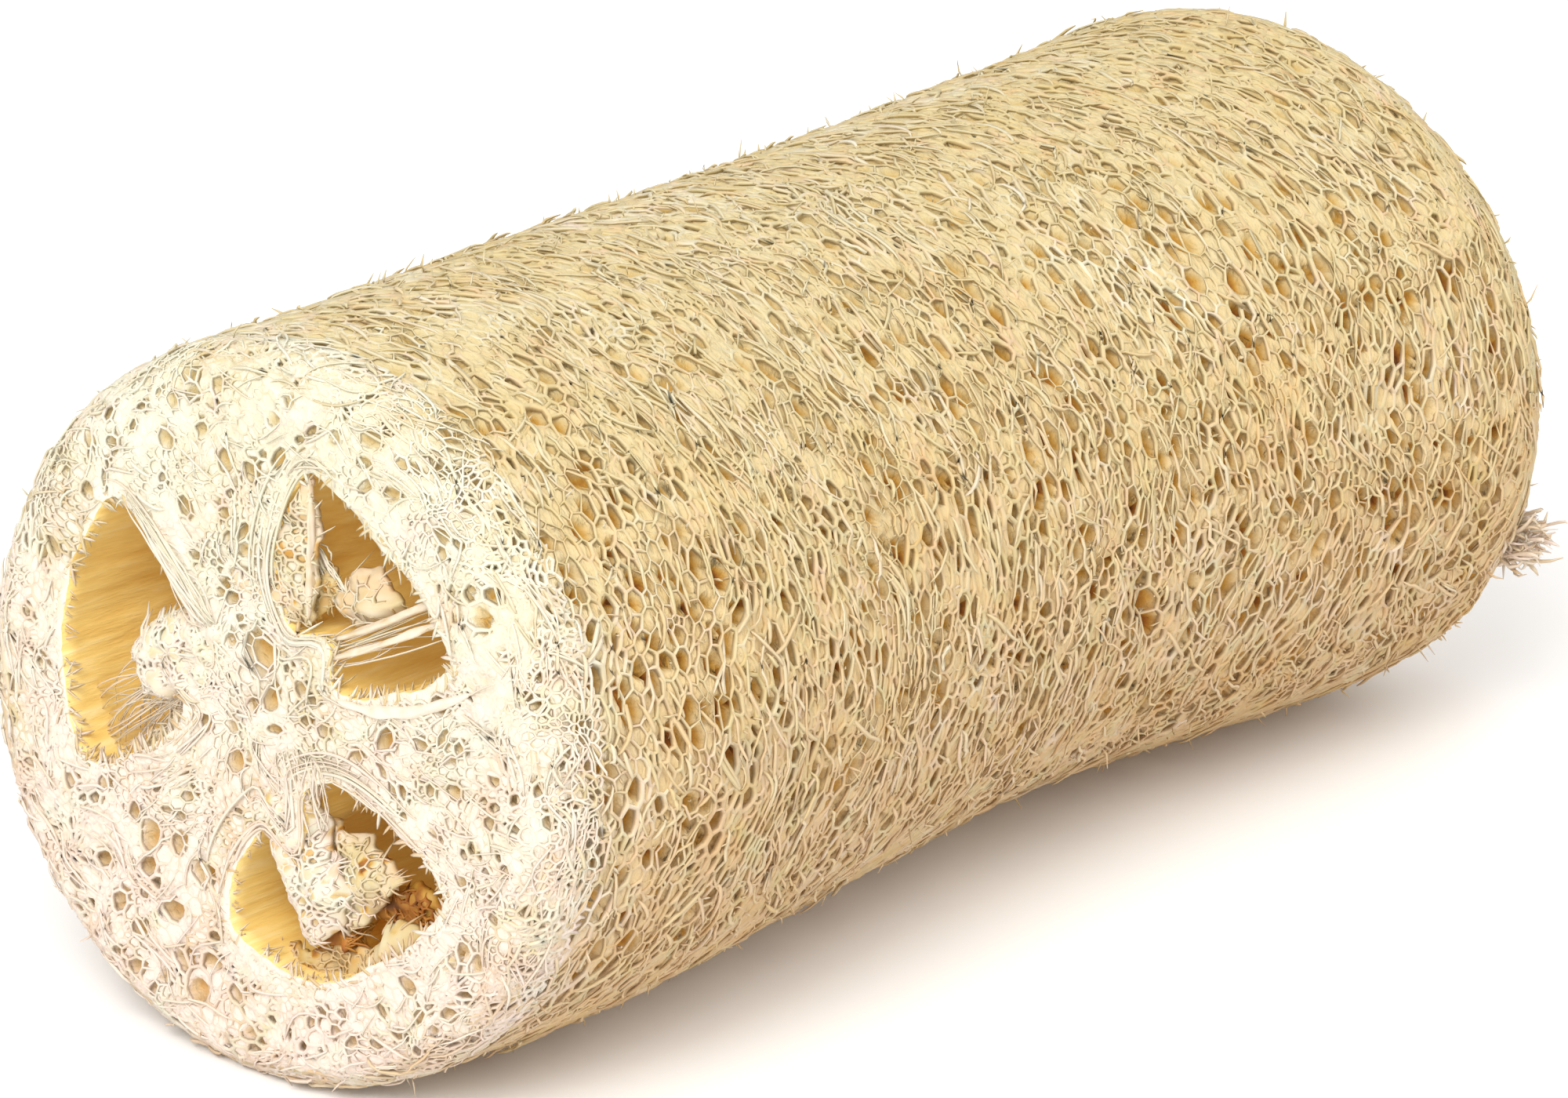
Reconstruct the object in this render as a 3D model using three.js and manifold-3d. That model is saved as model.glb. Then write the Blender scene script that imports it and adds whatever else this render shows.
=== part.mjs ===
// A natural loofah sponge: the dried fibre skeleton of one gourd, cut to length, as one closed solid.
// Millimetres, +Z up. The long axis lies along X and the front cut face looks along -X.
// Its net of fibres is relief: lens-shaped pores between raised ridges, larger than life.
import * as THREE from "three";
import { mergeVertices } from "three/addons/utils/BufferGeometryUtils.js";
import Module from "manifold-3d";

// Outer form
const length = 151.6;
const stations = [0, 0.15, 0.35, 0.55, 0.75, 0.9, 1];
const bodyRadius = [36.3, 36.8, 36.5, 36.5, 37.4, 38.3, 38.6];
const bodySway = [0, -1.9, 0.6, 1.3, -0.2, -1.4, 0];
const heightRatio = 0.948;
const frontRim = 4.6;
const rearRim = 15.5;
const frontYaw = -2.3;
const frontPitch = 5.6;
const rearPitch = -3.0;
const waist = { x: 14, halfLength: 24, angle: 241, depth: 1.5 };
const tuft = { angle: 228, spread: 11, radius: 33, width: 6, reach: 4.5 };
const pressedFlat = 0.6;

// Net of raised ridges
const columns = 22;
const frontFaceRows = 4;
const frontRimRows = 1;
const sideRows = 20;
const rearRimRows = 3;
const rearFaceRows = 3;
const frontCoreRadius = 4;
const rearCoreRadius = 5;
const poreDepth = 3.0;
const facePoreDepth = 2.4;
const ribShare = 0.26;
const ridgeWaver = 0.15;
const columnJitter = 0.13;
const rowJitter = 0.16;
const netSeed = 27;

// Chambers: front outlines about the body's axis as [y, z], and a rounder outline at the rear
const chambers = [
  {
    front: [
      [25.7, 1.6], [24.1, 11], [18.9, 18.2], [9.6, 10.2],
      [7.0, 2.2], [10.1, -3], [15.2, -6.6], [21.8, -8.8],
    ],
    rearAngle: 22,
    lobe: { angle: 17, spread: 13, reach: 5.5 },
  },
  {
    front: [
      [-4.4, 26.4], [-12.2, 22.6], [-19.6, 17.2], [-23.4, 11.2],
      [-16.6, 6.8], [-8.2, 6.2], [-1.2, 15.4],
    ],
    rearAngle: 136,
    lobe: { angle: 128, spread: 12, reach: 3.5 },
  },
  {
    front: [
      [-24.1, -11.2], [-17.6, -18.6], [-8.2, -23.6], [2.6, -20.8],
      [0.8, -11.4], [-8.6, -3.4], [-17.6, -5.8],
    ],
    rearAngle: 252,
    lobe: { angle: 243, spread: 13, reach: 5 },
  },
];
const rearChamberCentre = 16.2;
const rearChamberRadial = 8.6;
const rearChamberAcross = 10.4;
const chamberSides = 22;
const chamberSteps = 9;
const chamberRidge = 0.7;
const chamberWaver = 0.45;
const lobeDepth = 26;
const overrun = 10;
const weld = 0.01;

// Small holes in the core, open at the front cut face, as [y, z, radius]
const coreHoles = [[1.0, 8.9, 2.0], [-0.6, 4.2, 1.3]];
const coreHoleDepth = 18;
const coreHoleSides = 9;

const { clamp, degToRad, lerp } = THREE.MathUtils;
const half = length / 2;
const random = () => THREE.MathUtils.seededRandom();
const waver = (amount) => (random() * 2 - 1) * amount;
const fullTurn = Math.PI * 2;

// The difference between an angle in radians and one in degrees, at most half a turn either way.
function angleBetween(angle, degrees) {
  const turn = angle - degToRad(degrees);
  return Math.atan2(Math.sin(turn), Math.cos(turn));
}

// A smooth curve through the values at the stations, level at both ends.
function alongBody(values, t) {
  const last = stations.length - 1;
  let k = 0;
  while (k < last - 1 && t > stations[k + 1]) k += 1;
  const span = stations[k + 1] - stations[k];
  const slope = (i) =>
    i === 0 || i === last
      ? 0
      : (values[i + 1] - values[i - 1]) / (stations[i + 1] - stations[i - 1]);
  const f = clamp((t - stations[k]) / span, 0, 1);
  const rise = f * f * (3 - 2 * f);
  const leave = f * (1 - f) * (1 - f) * slope(k) * span;
  const arrive = f * f * (f - 1) * slope(k + 1) * span;
  return values[k] * (1 - rise) + values[k + 1] * rise + leave + arrive;
}

// A place inside or on the body: x along it, r and angle about its axis.
function place(x, r, angle) {
  const t = clamp((x + half) / length, 0, 1);
  const pinch = Math.max(0, Math.cos(angle - degToRad(waist.angle))) ** 2;
  const dip = waist.depth * pinch * Math.exp(-(((x - waist.x) / waist.halfLength) ** 2));
  const radius = alongBody(bodyRadius, t);
  const reach = r * (1 - dip / radius);
  const y = reach * Math.cos(angle);
  const z = heightRatio * reach * Math.sin(angle);
  const frontShare = clamp(-x / half, 0, 1) ** 2;
  const rearShare = clamp(x / half, 0, 1) ** 2;
  const frontLean = frontShare * (Math.tan(degToRad(frontYaw)) * y + Math.tan(degToRad(frontPitch)) * z);
  const rearLean = rearShare * Math.tan(degToRad(rearPitch)) * z;
  return new THREE.Vector3(
    x + frontLean + rearLean,
    alongBody(bodySway, t) + y,
    heightRatio * radius - pressedFlat + z,
  );
}

// The lengthwise outline: from the front face's centre, round its rim, along the side and to the rear centre.
const frontFaceEdge = bodyRadius[0] - frontRim;
const frontRimEdge = frontFaceEdge + (Math.PI / 2) * frontRim;
const sideEdge = frontRimEdge + length - frontRim - rearRim;
const rearRimEdge = sideEdge + (Math.PI / 2) * rearRim;
const rearFaceEdge = rearRimEdge + bodyRadius[bodyRadius.length - 1] - rearRim;

// x, radius and outward direction at a distance s along that outline.
function outline(s) {
  const radiusAt = (x) => alongBody(bodyRadius, (x + half) / length);
  if (s < frontFaceEdge) return { x: -half, r: s, outX: -1, outR: 0 };
  if (s < frontRimEdge) {
    const turn = (s - frontFaceEdge) / frontRim;
    const x = -half + frontRim * (1 - Math.cos(turn));
    const r = radiusAt(x) - frontRim * (1 - Math.sin(turn));
    return { x, r, outX: -Math.cos(turn), outR: Math.sin(turn) };
  }
  if (s < sideEdge) {
    const x = -half + frontRim + s - frontRimEdge;
    return { x, r: radiusAt(x), outX: 0, outR: 1 };
  }
  if (s < rearRimEdge) {
    const turn = (s - sideEdge) / rearRim;
    const x = half - rearRim * (1 - Math.sin(turn));
    const r = radiusAt(x) - rearRim * (1 - Math.cos(turn));
    return { x, r, outX: Math.sin(turn), outR: Math.cos(turn) };
  }
  return { x: half, r: rearFaceEdge - s, outX: 1, outR: 0 };
}

// Distance along the outline for a place in the net counted in rows of pores.
const rowKnots = [
  [frontFaceRows, frontCoreRadius, frontFaceEdge],
  [frontRimRows, frontFaceEdge, frontRimEdge],
  [sideRows, frontRimEdge, sideEdge],
  [rearRimRows, sideEdge, rearRimEdge],
  [rearFaceRows, rearRimEdge, rearFaceEdge - rearCoreRadius],
];
const rows = rowKnots.reduce((sum, knot) => sum + knot[0], 0);
function distanceAt(row) {
  let left = clamp(row, 0, rows);
  for (const [count, from, to] of rowKnots) {
    if (left <= count) return from + ((to - from) * left) / count;
    left -= count;
  }
  return rearFaceEdge - rearCoreRadius;
}

// How far the ragged tuft at the rear rim stands out: most at its own angle and radius.
function tuftRise(x, r, angle) {
  if (x < 0) return 0;
  const away = angleBetween(angle, tuft.angle) / degToRad(tuft.spread);
  const offRadius = (r - tuft.radius) / tuft.width;
  return tuft.reach * Math.exp(-(away ** 2) - offRadius ** 2);
}

// A point of the skin, raised or sunk from the outline. Nothing is sunk where the sponge is pressed flat.
function skinPoint(row, column, raise) {
  const angle = (column / columns) * fullTurn;
  const { x, r, outX, outR } = outline(distanceAt(row));
  const onSide = outR > 0.9;
  const pressed = onSide && place(x, r, angle).z < pressedFlat;
  const rise = pressed ? Math.max(raise, 0) : raise;
  return place(x + outX * rise + tuftRise(x, r, angle), r + outR * rise, angle);
}

// The corners of the honeycomb, where three ribs meet: for each column of pores, those left and right of its
// middle.
function netJunctions() {
  const junctions = [];
  for (let column = 0; column < columns; column += 1) {
    const odd = column % 2;
    const sides = { left: [], right: [] };
    for (let row = 0; row <= rows - odd; row += 1) {
      const rowWaver = row === 0 || row === rows - odd ? 0 : rowJitter;
      const junction = (side) => ({
        row: row + odd / 2 + waver(rowWaver),
        column: column + side / 3 + waver(columnJitter),
      });
      sides.left.push(junction(-1));
      sides.right.push(junction(1));
    }
    junctions.push(sides);
  }
  return junctions;
}

// The pores: six junctions in a ring, with the points of the lens left and right, and the same ring drawn in
// by the rib's own half width.
function netPores(junctions, add) {
  const pores = [];
  for (let column = 0; column < columns; column += 1) {
    const odd = column % 2;
    const before = junctions[(column + columns - 1) % columns].right;
    const here = junctions[column];
    const after = junctions[(column + 1) % columns].left;
    for (let row = 0; row < rows - odd; row += 1) {
      const middle = row + 0.5 + odd / 2;
      const onFace = middle < frontFaceRows || middle > rows - rearFaceRows;
      const fromCore = Math.min(middle, rows - middle);
      const shallow = clamp(0.4 + fromCore / 3, 0, 1);
      const depth = (onFace ? facePoreDepth * shallow : poreDepth) * (0.85 + 0.3 * random());
      const ring = [
        before[row + odd],
        here.left[row],
        here.right[row],
        after[row + odd],
        here.right[row + 1],
        here.left[row + 1],
      ];
      const inset = ring.map((corner) => {
        const turns = Math.round((corner.column - column) / columns);
        return add(
          lerp(corner.row, middle, ribShare),
          lerp(corner.column - turns * columns, column, ribShare),
          waver(ridgeWaver) - ridgeWaver,
        );
      });
      const pit = add(middle + waver(rowJitter / 2), column + waver(columnJitter), -depth);
      pores.push({ ring, inset, pit });
    }
  }
  return pores;
}

// The outer skin: pores that fall to a pit each, with flat ribs between them, closed by a fan at both ends.
function netSkin() {
  THREE.MathUtils.seededRandom(netSeed);
  const points = [];
  const faces = [];
  const add = (row, column, raise) => points.push(skinPoint(row, column, raise)) - 1;
  const junctions = netJunctions();
  const pores = netPores(junctions, add);
  const edgePoint = (junction) => {
    junction.point ??= add(junction.row, junction.column, 0);
    return junction.point;
  };
  const across = new Map();
  pores.forEach((pore) => {
    pore.ring.forEach((from, k) => {
      const to = pore.ring[(k + 1) % 6];
      if (!across.has(from)) across.set(from, new Map());
      across.get(from).set(to, { pore, k });
    });
  });
  pores.forEach((pore, number) => {
    pore.number = number;
  });
  pores.forEach((pore) => {
    pore.ring.forEach((from, k) => {
      const next = (k + 1) % 6;
      const to = pore.ring[next];
      faces.push(pore.pit, pore.inset[k], pore.inset[next]);
      const other = across.get(to)?.get(from);
      if (!other) {
        faces.push(pore.inset[next], pore.inset[k], edgePoint(from));
        faces.push(pore.inset[next], edgePoint(from), edgePoint(to));
        return;
      }
      const otherFrom = other.pore.inset[(other.k + 1) % 6];
      const otherTo = other.pore.inset[other.k];
      if (pore.number < other.pore.number) {
        faces.push(pore.inset[next], pore.inset[k], otherFrom);
        faces.push(pore.inset[next], otherFrom, otherTo);
      }
      const beyond = other.pore.ring[(other.k + 2) % 6];
      const third = across.get(beyond)?.get(from);
      const closes = third && across.get(third.pore.ring[(third.k + 2) % 6])?.get(from)?.pore === pore;
      if (!closes) {
        faces.push(otherFrom, pore.inset[k], edgePoint(from));
      } else if (pore.number < other.pore.number && pore.number < third.pore.number) {
        faces.push(pore.inset[k], third.pore.inset[(third.k + 1) % 6], otherFrom);
      }
    });
  });
  const close = (pick, pole, turned) => {
    const centre = points.push(pole) - 1;
    const ring = junctions.flatMap(({ left, right }) => [pick(left), pick(right)]);
    ring.forEach((corner, k) => {
      const next = edgePoint(ring[(k + 1) % ring.length]);
      faces.push(centre, ...(turned ? [edgePoint(corner), next] : [next, edgePoint(corner)]));
    });
  };
  close((list) => list[0], place(-half, 0, 0), false);
  close((list) => list[list.length - 1], place(half, 0, 0), true);
  return indexedGeometry(points, faces);
}

function indexedGeometry(points, faces) {
  const geometry = new THREE.BufferGeometry().setFromPoints(points);
  geometry.setIndex(faces);
  return geometry;
}

// The chamber's outline at the rear: an egg, wider towards the skin, with a point for each front point.
function rearOutline(chamber) {
  const angle = degToRad(chamber.rearAngle);
  const middle = chamber.front
    .reduce((sum, [y, z]) => sum.add(new THREE.Vector2(y, z)), new THREE.Vector2())
    .divideScalar(chamber.front.length);
  return chamber.front.map(([y, z]) => {
    const towards = Math.atan2(z - middle.y, y - middle.x) - middle.angle();
    const out = Math.cos(towards);
    const across = Math.sin(towards) * rearChamberAcross * (1 + 0.22 * out);
    return new THREE.Vector2(rearChamberCentre + out * rearChamberRadial, across)
      .rotateAround(new THREE.Vector2(), angle);
  });
}

// A point of a chamber's wall, moved from its smooth outline: inwards for every second rib, a little to and
// fro along the body, and outwards where the core's lobe stands into the chamber near the front cut face.
function chamberPoint(chamber, side, x, y, z) {
  const r = Math.hypot(y, z);
  const angle = Math.atan2(z, y);
  const inner = r < rearChamberCentre;
  const away = angleBetween(angle, chamber.lobe.angle) / degToRad(chamber.lobe.spread);
  const fade = clamp(1 - (x + half) / lobeDepth, 0, 1);
  const lobe = inner ? chamber.lobe.reach * Math.exp(-(away ** 2)) * fade : 0;
  const rib = (side % 2) * chamberRidge + chamberWaver * Math.sin(x / 8 + side * 1.7);
  return place(x, r + lobe + (inner ? rib : -rib), angle);
}

// A chamber as a closed cutter: a ribbed tube through the whole body, past both cut faces.
function chamberCutter(chamber) {
  const closedCurve = (list) => new THREE.CatmullRomCurve3(list, true, "catmullrom", 0.5);
  const frontCurve = closedCurve(chamber.front.map(([y, z]) => new THREE.Vector3(0, y, z)));
  const rearCurve = closedCurve(rearOutline(chamber).map((point) => new THREE.Vector3(0, point.x, point.y)));
  const points = [];
  const faces = [];
  const at = (step, side) => step * chamberSides + (side % chamberSides);
  for (let step = 0; step <= chamberSteps; step += 1) {
    const x = -half - overrun + ((length + 2 * overrun) * step) / chamberSteps;
    const blend = THREE.MathUtils.smoothstep(x, -half, half);
    for (let side = 0; side < chamberSides; side += 1) {
      const u = side / chamberSides;
      const wall = frontCurve.getPoint(u).lerp(rearCurve.getPoint(u), blend);
      points.push(chamberPoint(chamber, side, x, wall.y, wall.z));
    }
  }
  for (let step = 0; step < chamberSteps; step += 1) {
    for (let side = 0; side < chamberSides; side += 1) {
      faces.push(at(step, side), at(step, side + 1), at(step + 1, side + 1));
      faces.push(at(step, side), at(step + 1, side + 1), at(step + 1, side));
    }
  }
  const endCentre = (step) => {
    const rim = points.slice(at(step, 0), at(step, 0) + chamberSides);
    const centre = rim.reduce((sum, point) => sum.add(point), new THREE.Vector3());
    return points.push(centre.divideScalar(chamberSides)) - 1;
  };
  const frontEnd = endCentre(0);
  const rearEnd = endCentre(chamberSteps);
  for (let side = 0; side < chamberSides; side += 1) {
    faces.push(frontEnd, at(0, side + 1), at(0, side));
    faces.push(rearEnd, at(chamberSteps, side), at(chamberSteps, side + 1));
  }
  return indexedGeometry(points, faces);
}

// A small blind hole in the core, along the axis.
function coreHole([y, z, radius]) {
  const hole = new THREE.CylinderGeometry(radius, radius * 0.6, 2 * coreHoleDepth, coreHoleSides);
  hole.rotateZ(Math.PI / 2);
  return hole.translate(-half, y, z + heightRatio * bodyRadius[0] - pressedFlat);
}

// Everything below the resting plane.
function groundCutter() {
  const size = 4 * half;
  return new THREE.BoxGeometry(size, size, size).translate(0, 0, -size / 2);
}

const wasm = await Module();
wasm.setup();

function toSolid(geometry) {
  geometry.deleteAttribute("normal");
  geometry.deleteAttribute("uv");
  const merged = mergeVertices(geometry);
  return new wasm.Manifold(
    new wasm.Mesh({
      numProp: 3,
      vertProperties: merged.attributes.position.array,
      triVerts: new Uint32Array(merged.index.array),
    }),
  );
}

function toGeometry(solid) {
  const { vertProperties, triVerts } = solid.getMesh();
  const geometry = new THREE.BufferGeometry();
  geometry.setAttribute("position", new THREE.BufferAttribute(vertProperties, 3));
  geometry.setIndex(new THREE.BufferAttribute(triVerts, 1));
  return geometry;
}

// Rounds the corners to the weld distance, joins those that meet and drops the triangles that close up.
function welded(geometry) {
  const { position } = geometry.attributes;
  const snap = (value) => Math.round(value / weld) * weld;
  position.array.forEach((value, k) => {
    position.array[k] = snap(value);
  });
  const merged = mergeVertices(geometry, weld / 10);
  const corners = merged.index.array;
  const kept = [];
  for (let k = 0; k < corners.length; k += 3) {
    const [a, b, c] = corners.slice(k, k + 3);
    if (a !== b && b !== c && c !== a) kept.push(a, b, c);
  }
  merged.setIndex(kept);
  return merged;
}

function loofahSponge() {
  const cutters = [...chambers.map(chamberCutter), ...coreHoles.map(coreHole), groundCutter()];
  const sponge = cutters.reduce((body, cutter) => body.subtract(toSolid(cutter)), toSolid(netSkin()));
  const geometry = welded(toGeometry(sponge));
  geometry.computeBoundingBox();
  const centre = geometry.boundingBox.getCenter(new THREE.Vector3());
  geometry.translate(-centre.x, -centre.y, 0);
  geometry.computeVertexNormals();
  const straw = new THREE.MeshStandardMaterial({ color: 0xeadfb4, roughness: 0.85, metalness: 0 });
  const mesh = new THREE.Mesh(geometry, straw);
  mesh.name = "loofah_sponge";
  return mesh;
}

const group = new THREE.Group();
group.add(loofahSponge());

export default group;
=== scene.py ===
import math

import bpy
import numpy as np
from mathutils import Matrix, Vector
from mathutils.geometry import delaunay_2d_cdt
from mathutils.kdtree import KDTree


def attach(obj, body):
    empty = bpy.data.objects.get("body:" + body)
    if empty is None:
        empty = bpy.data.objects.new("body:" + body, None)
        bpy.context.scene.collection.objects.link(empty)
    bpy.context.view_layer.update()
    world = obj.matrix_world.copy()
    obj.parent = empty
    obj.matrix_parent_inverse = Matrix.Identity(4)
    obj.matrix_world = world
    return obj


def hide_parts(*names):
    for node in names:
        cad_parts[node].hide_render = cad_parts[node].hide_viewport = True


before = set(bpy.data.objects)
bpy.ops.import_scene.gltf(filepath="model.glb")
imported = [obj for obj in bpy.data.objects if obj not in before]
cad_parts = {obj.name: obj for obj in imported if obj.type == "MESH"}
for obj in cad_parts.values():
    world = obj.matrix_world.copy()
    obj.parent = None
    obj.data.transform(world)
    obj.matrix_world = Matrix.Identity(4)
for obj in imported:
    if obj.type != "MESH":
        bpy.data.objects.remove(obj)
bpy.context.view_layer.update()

# A natural loofah sponge: the dried fibre net of one gourd, cut to length and lying on its side.
# Lengths are millimetres until a mesh is built. Named angles are degrees, apart from the camera's.

MILLIMETRE = 0.001
TURN = 2 * math.pi

# Outer form, as the solid has it
LENGTH = 151.6
HALF = LENGTH / 2
STATIONS = np.array([0, 0.15, 0.35, 0.55, 0.75, 0.9, 1])
BODY_RADIUS = np.array([36.3, 36.8, 36.5, 36.5, 37.4, 38.3, 38.6])
BODY_SWAY = np.array([0, -1.9, 0.6, 1.3, -0.2, -1.4, 0])
HEIGHT_RATIO = 0.948
FRONT_RIM = 4.6
REAR_RIM = 15.5
FRONT_YAW = -2.3
FRONT_PITCH = 5.6
REAR_PITCH = -3.0
WAIST_X = 14
WAIST_HALF_LENGTH = 24
WAIST_ANGLE = 241
WAIST_DEPTH = 1.5
TUFT_ANGLE = 228
TUFT_SPREAD = 11
TUFT_RADIUS = 33
TUFT_WIDTH = 6
TUFT_REACH = 4.5
PRESSED_FLAT = 0.6
REST_GAP = 0.05
CREASE_ANGLE = 187.5
CREASE_S = 120
CREASE_SLANT = 0.5
CREASE_HALF_LENGTH = 4.2
CREASE_HALF_WIDTH = 1.2
CREASE_DEPTH = 1.8
BOX_CENTRE_SHIFT = np.array([0.40, 0.88, 0.0])

# Chambers: front outlines about the body's axis as [y, z], the angle of the rounder outline at the rear, the
# angle, spread and reach of the core's lobe, and the stretch of the outline that has white bundles
CHAMBERS = {
    "left": {
        "front": [[25.7, 1.6], [24.1, 11], [18.9, 18.2], [9.6, 10.2],
                  [7.0, 2.2], [10.1, -3], [15.2, -6.6], [21.8, -8.8]],
        "rear_angle": 22,
        "lobe": (17, 13, 5.5),
        "bundles": (0.2, 0.66),
    },
    "upper": {
        "front": [[-4.4, 26.4], [-12.2, 22.6], [-19.6, 17.2], [-23.4, 11.2],
                  [-16.6, 6.8], [-8.2, 6.2], [-1.2, 15.4]],
        "rear_angle": 136,
        "lobe": (128, 12, 3.5),
        "bundles": (0.62, 1.08),
    },
    "lower": {
        "front": [[-24.1, -11.2], [-17.6, -18.6], [-8.2, -23.6], [2.6, -20.8],
                  [0.8, -11.4], [-8.6, -3.4], [-17.6, -5.8]],
        "rear_angle": 252,
        "lobe": (243, 13, 5),
        "bundles": (0.48, 0.98),
    },
}
REAR_CHAMBER_CENTRE = 16.2
REAR_CHAMBER_RADIAL = 8.6
REAR_CHAMBER_ACROSS = 10.4
REAR_CHAMBER_EGG = 0.22
LOBE_DEPTH = 26

# The lengthwise outline: front face, front rim, side, rear rim, rear face
FRONT_FACE_EDGE = BODY_RADIUS[0] - FRONT_RIM
FRONT_RIM_EDGE = FRONT_FACE_EDGE + math.pi / 2 * FRONT_RIM
SIDE_EDGE = FRONT_RIM_EDGE + LENGTH - FRONT_RIM - REAR_RIM
REAR_RIM_EDGE = SIDE_EDGE + math.pi / 2 * REAR_RIM
OUTLINE_LENGTH = REAR_RIM_EDGE + BODY_RADIUS[-1] - REAR_RIM
MEAN_RADIUS = 36.8
ROUND = TURN * MEAN_RADIUS


def smooth_step(value, low, high):
    share = np.clip((value - low) / (high - low), 0, 1)
    return share * share * (3 - 2 * share)


def angle_between(angle, degrees):
    """The way from an angle in degrees to one in radians, at most half a turn."""
    turn = angle - math.radians(degrees)
    return np.arctan2(np.sin(turn), np.cos(turn))


def pairs(first, second):
    return np.column_stack([first, second])


def polar(flat):
    """How far places of a flat map lie from its middle, and in which direction."""
    return np.hypot(flat[:, 0], flat[:, 1]), np.arctan2(flat[:, 1], flat[:, 0])


def from_polar(r, angle):
    return pairs(r * np.cos(angle), r * np.sin(angle))


def unit(vectors):
    return vectors / np.maximum(np.linalg.norm(vectors, axis=-1, keepdims=True), 1e-9)


def left_of(vectors):
    return pairs(-vectors[:, 1], vectors[:, 0])


def grid(*ways):
    """Every place of a grid, one list for each way."""
    return [part.ravel() for part in np.meshgrid(*ways, indexing="ij")]


def along_body(values, t):
    """A smooth curve through the values at the stations, level at both ends."""
    slope = np.zeros(len(values))
    slope[1:-1] = (values[2:] - values[:-2]) / (STATIONS[2:] - STATIONS[:-2])
    k = np.clip(np.searchsorted(STATIONS, t) - 1, 0, len(STATIONS) - 2)
    span = STATIONS[k + 1] - STATIONS[k]
    f = np.clip((t - STATIONS[k]) / span, 0, 1)
    rise = f * f * (3 - 2 * f)
    leave = f * (1 - f) * (1 - f) * slope[k] * span
    arrive = f * f * (f - 1) * slope[k + 1] * span
    return values[k] * (1 - rise) + values[k + 1] * rise + leave + arrive


def place(x, r, angle):
    """Places inside or on the body: x along it, r and angle about its axis."""
    t = np.clip((x + HALF) / LENGTH, 0, 1)
    pinch = np.maximum(0, np.cos(angle - math.radians(WAIST_ANGLE))) ** 2
    dip = WAIST_DEPTH * pinch * np.exp(-(((x - WAIST_X) / WAIST_HALF_LENGTH) ** 2))
    radius = along_body(BODY_RADIUS, t)
    reach = r * (1 - dip / radius)
    y = reach * np.cos(angle)
    z = HEIGHT_RATIO * reach * np.sin(angle)
    yaw, front_pitch, rear_pitch = np.tan(np.radians([FRONT_YAW, FRONT_PITCH, REAR_PITCH]))
    lean = np.clip(-x / HALF, 0, 1) ** 2 * (yaw * y + front_pitch * z)
    lean = lean + np.clip(x / HALF, 0, 1) ** 2 * rear_pitch * z
    height = HEIGHT_RATIO * radius - PRESSED_FLAT + z
    return np.stack([x + lean, along_body(BODY_SWAY, t) + y, height], axis=-1) + BOX_CENTRE_SHIFT


def outline(s):
    """x, radius and outward direction at a distance s along the lengthwise outline."""
    front_turn = np.clip((s - FRONT_FACE_EDGE) / FRONT_RIM, 0, math.pi / 2)
    rear_turn = np.clip((s - SIDE_EDGE) / REAR_RIM, 0, math.pi / 2)
    x = -HALF + FRONT_RIM * (1 - np.cos(front_turn))
    x = x + np.clip(s - FRONT_RIM_EDGE, 0, SIDE_EDGE - FRONT_RIM_EDGE)
    x = x + REAR_RIM * np.sin(rear_turn)
    r = along_body(BODY_RADIUS, (x + HALF) / LENGTH)
    r = r - FRONT_RIM * (1 - np.sin(front_turn)) - REAR_RIM * (1 - np.cos(rear_turn))
    r = np.where(s < FRONT_FACE_EDGE, s, r)
    r = np.where(s > REAR_RIM_EDGE, OUTLINE_LENGTH - s, r)
    out_x = np.sin(rear_turn) - np.cos(front_turn) * (s < FRONT_RIM_EDGE)
    out_r = np.sin(front_turn) * np.cos(rear_turn)
    return x, np.maximum(r, 0), out_x, out_r


def crease(s, angle):
    """1 in the bottom of the slanting crease in the side, 0 away from it."""
    across = angle_between(angle, CREASE_ANGLE) * MEAN_RADIUS
    along = s - CREASE_S - CREASE_SLANT * across
    return np.exp(-((across / CREASE_HALF_LENGTH) ** 2) - (along / CREASE_HALF_WIDTH) ** 2)


def skin(s, angle, sink):
    """Places at a depth under the skin, none of them under the surface that the sponge lies on."""
    x, r, out_x, out_r = outline(s)
    away = angle_between(angle, TUFT_ANGLE) / math.radians(TUFT_SPREAD)
    tuft = TUFT_REACH * np.exp(-(away ** 2) - ((r - TUFT_RADIUS) / TUFT_WIDTH) ** 2) * (x > 0)
    sink = sink + CREASE_DEPTH * crease(s, angle)
    points = place(x - out_x * sink + tuft, np.maximum(r - out_r * sink, 0), angle)
    points[:, 2] = np.maximum(points[:, 2], REST_GAP + 0.3 * np.maximum(sink, 0))
    return points


def drift(points, size, seed):
    """A smooth random value of about -1 to 1 at each place, which changes over the given size."""
    draw = np.random.default_rng(seed)
    waves = draw.normal(size=(20, points.shape[1])) * (2.2 / size)
    shifts = draw.uniform(0, TURN, 20)
    return np.sin(points @ waves.T + shifts).sum(axis=1) * 0.3


# The camera, and the way from a place in the photo to a place on the body

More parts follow.
